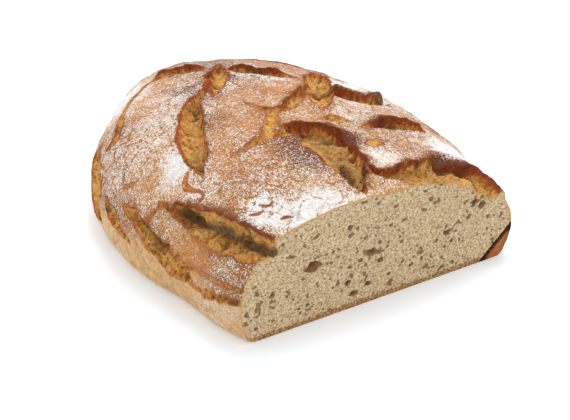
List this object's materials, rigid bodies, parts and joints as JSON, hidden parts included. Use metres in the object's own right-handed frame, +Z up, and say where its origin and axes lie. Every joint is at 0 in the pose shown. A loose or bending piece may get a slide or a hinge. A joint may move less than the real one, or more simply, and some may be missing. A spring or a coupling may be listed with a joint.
{
  "type": "sourdough loaf",
  "caption": "Larger piece of a floured sourdough country loaf with a torn crust, cut straight across to show the crumb, lying on its flat bottom.",
  "frame": {"origin": "bottom centre of the bounding box, on the flat bottom crust", "axes": "+Z up, +Y from the cut face along the loaf to its far end, +X to the right as the cut face is looked at"},
  "size_m": [0.2694, 0.317, 0.1031],
  "materials": {
    "crust": "matte"
  },
  "bodies": {
    "root": {"loaf": "crust"}
  },
  "joints": []
}
